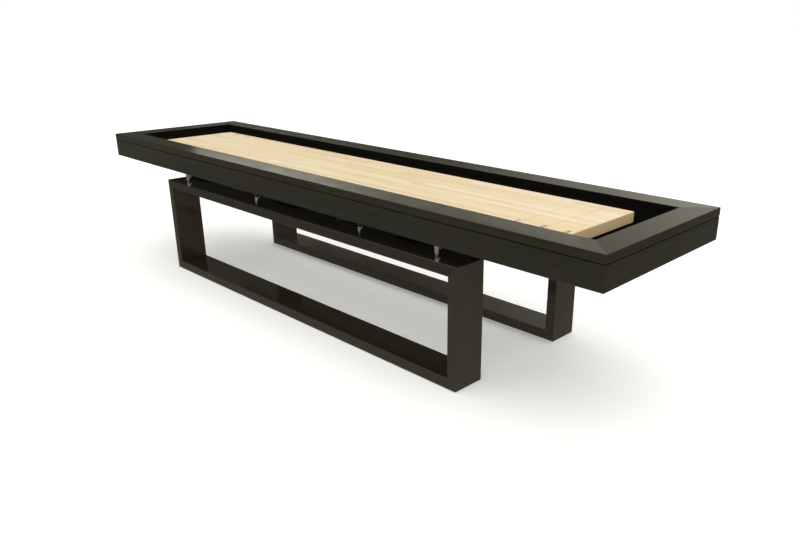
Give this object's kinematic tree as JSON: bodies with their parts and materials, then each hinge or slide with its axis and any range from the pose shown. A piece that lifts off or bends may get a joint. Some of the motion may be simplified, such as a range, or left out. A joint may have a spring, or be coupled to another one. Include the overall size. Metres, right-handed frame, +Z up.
{
  "type": "shuffleboard table",
  "caption": "Long shuffleboard table: laminated playfield sunk between carpeted gutters in a mitred box cabinet, carried by standoffs on two rectangular hoop frames.",
  "frame": {"origin": "on the floor under the middle of the table", "axes": "+X along the length to the right-hand end, -Y the front long side, +Z up from the floor to the rail tops"},
  "size_m": [3.83, 0.914, 0.796],
  "materials": {
    "rail_lacquer": "espresso-stained hardwood, satin lacquer",
    "apron_lacquer": "espresso-stained hardwood, satin lacquer",
    "hoop_lacquer": "espresso-stained hardwood, semi-gloss lacquer",
    "maple": "laminated maple under clear gloss",
    "carpet": "black needled gutter carpet",
    "frame_board": "black-stained plywood",
    "frame_timber": "black-stained planed softwood",
    "chrome": "polished chromed steel tube",
    "zinc_steel": "bright zinc plate",
    "bracket_steel": "grey powder coat",
    "black_steel": "black oxide",
    "brass": "turned",
    "glide": "black nylon"
  },
  "bodies": {
    "root": {"top_rail_front": "rail_lacquer", "apron_front": "apron_lacquer", "gutter_wall_front": "frame_board", "gutter_floor_front": "frame_board", "gutter_liner_front": "carpet", "top_rail_right": "rail_lacquer", "apron_right": "apron_lacquer", "gutter_wall_right": "frame_board", "gutter_floor_right": "frame_board", "gutter_liner_right": "carpet", "top_rail_back": "rail_lacquer", "apron_back": "apron_lacquer", "gutter_wall_back": "frame_board", "gutter_floor_back": "frame_board", "gutter_liner_back": "carpet", "top_rail_left": "rail_lacquer", "apron_left": "apron_lacquer", "gutter_wall_left": "frame_board", "gutter_floor_left": "frame_board", "gutter_liner_left": "carpet", "stringer_front": "frame_timber", "stringer_back": "frame_timber", "cross_beam_1": "frame_timber", "cross_beam_2": "frame_timber", "cross_beam_3": "frame_timber", "cross_beam_4": "frame_timber", "playfield": "maple", "glue_blocks": "frame_timber", "rail_screws": "zinc_steel", "playfield_screws": "zinc_steel", "adjuster_brackets": "bracket_steel", "adjuster_rods": "zinc_steel", "adjuster_nuts": "zinc_steel", "bracket_screws": "zinc_steel", "standoffs_front": "chrome", "standoffs_back": "chrome", "standoff_bolts": "black_steel", "standoff_inserts": "brass", "hoop_tenons": "frame_timber", "hoop_front_top_bar": "hoop_lacquer", "hoop_front_bottom_bar": "hoop_lacquer", "hoop_front_left_upright": "hoop_lacquer", "hoop_front_right_upright": "hoop_lacquer", "hoop_back_top_bar": "hoop_lacquer", "hoop_back_bottom_bar": "hoop_lacquer", "hoop_back_left_upright": "hoop_lacquer", "hoop_back_right_upright": "hoop_lacquer", "leveller_inserts": "brass"},
    "adjuster_turnbuckle_1": {"adjuster_turnbuckle_1": "zinc_steel"},
    "adjuster_turnbuckle_2": {"adjuster_turnbuckle_2": "zinc_steel"},
    "adjuster_turnbuckle_3": {"adjuster_turnbuckle_3": "zinc_steel"},
    "leveller_pad_front_left": {"leveller_pad_front_left": "glide"},
    "leveller_pad_front_right": {"leveller_pad_front_right": "glide"},
    "leveller_pad_back_left": {"leveller_pad_back_left": "glide"},
    "leveller_pad_back_right": {"leveller_pad_back_right": "glide"},
    "leveller_stem_front_left": {"leveller_stem_front_left": "zinc_steel"},
    "leveller_stem_front_right": {"leveller_stem_front_right": "zinc_steel"},
    "leveller_stem_back_left": {"leveller_stem_back_left": "zinc_steel"},
    "leveller_stem_back_right": {"leveller_stem_back_right": "zinc_steel"}
  },
  "joints": [
    {"name": "leveller_travel_front_left", "type": "slide", "parent": "root", "child": "leveller_pad_front_left", "axis": [0, 0, -1], "range_m": [0, 0.012]},
    {"name": "leveller_turn_front_left", "type": "hinge", "parent": "leveller_pad_front_left", "child": "leveller_stem_front_left", "pos_m": [-1.13, -0.3695, 0.02], "axis": [0, 0, -1], "range_deg": [0, 2468.58]},
    {"name": "leveller_travel_front_right", "type": "slide", "parent": "root", "child": "leveller_pad_front_right", "axis": [0, 0, -1], "range_m": [0, 0.012]},
    {"name": "leveller_turn_front_right", "type": "hinge", "parent": "leveller_pad_front_right", "child": "leveller_stem_front_right", "pos_m": [1.13, -0.3695, 0.02], "axis": [0, 0, -1], "range_deg": [0, 2468.58]},
    {"name": "leveller_travel_back_left", "type": "slide", "parent": "root", "child": "leveller_pad_back_left", "axis": [0, 0, -1], "range_m": [0, 0.012]},
    {"name": "leveller_turn_back_left", "type": "hinge", "parent": "leveller_pad_back_left", "child": "leveller_stem_back_left", "pos_m": [-1.13, 0.3695, 0.02], "axis": [0, 0, -1], "range_deg": [0, 2468.58]},
    {"name": "leveller_travel_back_right", "type": "slide", "parent": "root", "child": "leveller_pad_back_right", "axis": [0, 0, -1], "range_m": [0, 0.012]},
    {"name": "leveller_turn_back_right", "type": "hinge", "parent": "leveller_pad_back_right", "child": "leveller_stem_back_right", "pos_m": [1.13, 0.3695, 0.02], "axis": [0, 0, -1], "range_deg": [0, 2468.58]},
    {"name": "adjuster_turn_1", "type": "hinge", "parent": "root", "child": "adjuster_turnbuckle_1", "pos_m": [-1.05733, 0, 0.683], "axis": [0, 1, 0], "range_deg": [-180, 180]},
    {"name": "adjuster_turn_2", "type": "hinge", "parent": "root", "child": "adjuster_turnbuckle_2", "pos_m": [0, 0, 0.683], "axis": [0, 1, 0], "range_deg": [-180, 180]},
    {"name": "adjuster_turn_3", "type": "hinge", "parent": "root", "child": "adjuster_turnbuckle_3", "pos_m": [1.05733, 0, 0.683], "axis": [0, 1, 0], "range_deg": [-180, 180]}
  ],
  "couplings": [
    {"joint": "leveller_turn_front_left", "follows": "leveller_travel_front_left", "rad_per_m": 3590.4},
    {"joint": "leveller_turn_front_right", "follows": "leveller_travel_front_right", "rad_per_m": 3590.4},
    {"joint": "leveller_turn_back_left", "follows": "leveller_travel_back_left", "rad_per_m": 3590.4},
    {"joint": "leveller_turn_back_right", "follows": "leveller_travel_back_right", "rad_per_m": 3590.4}
  ]
}
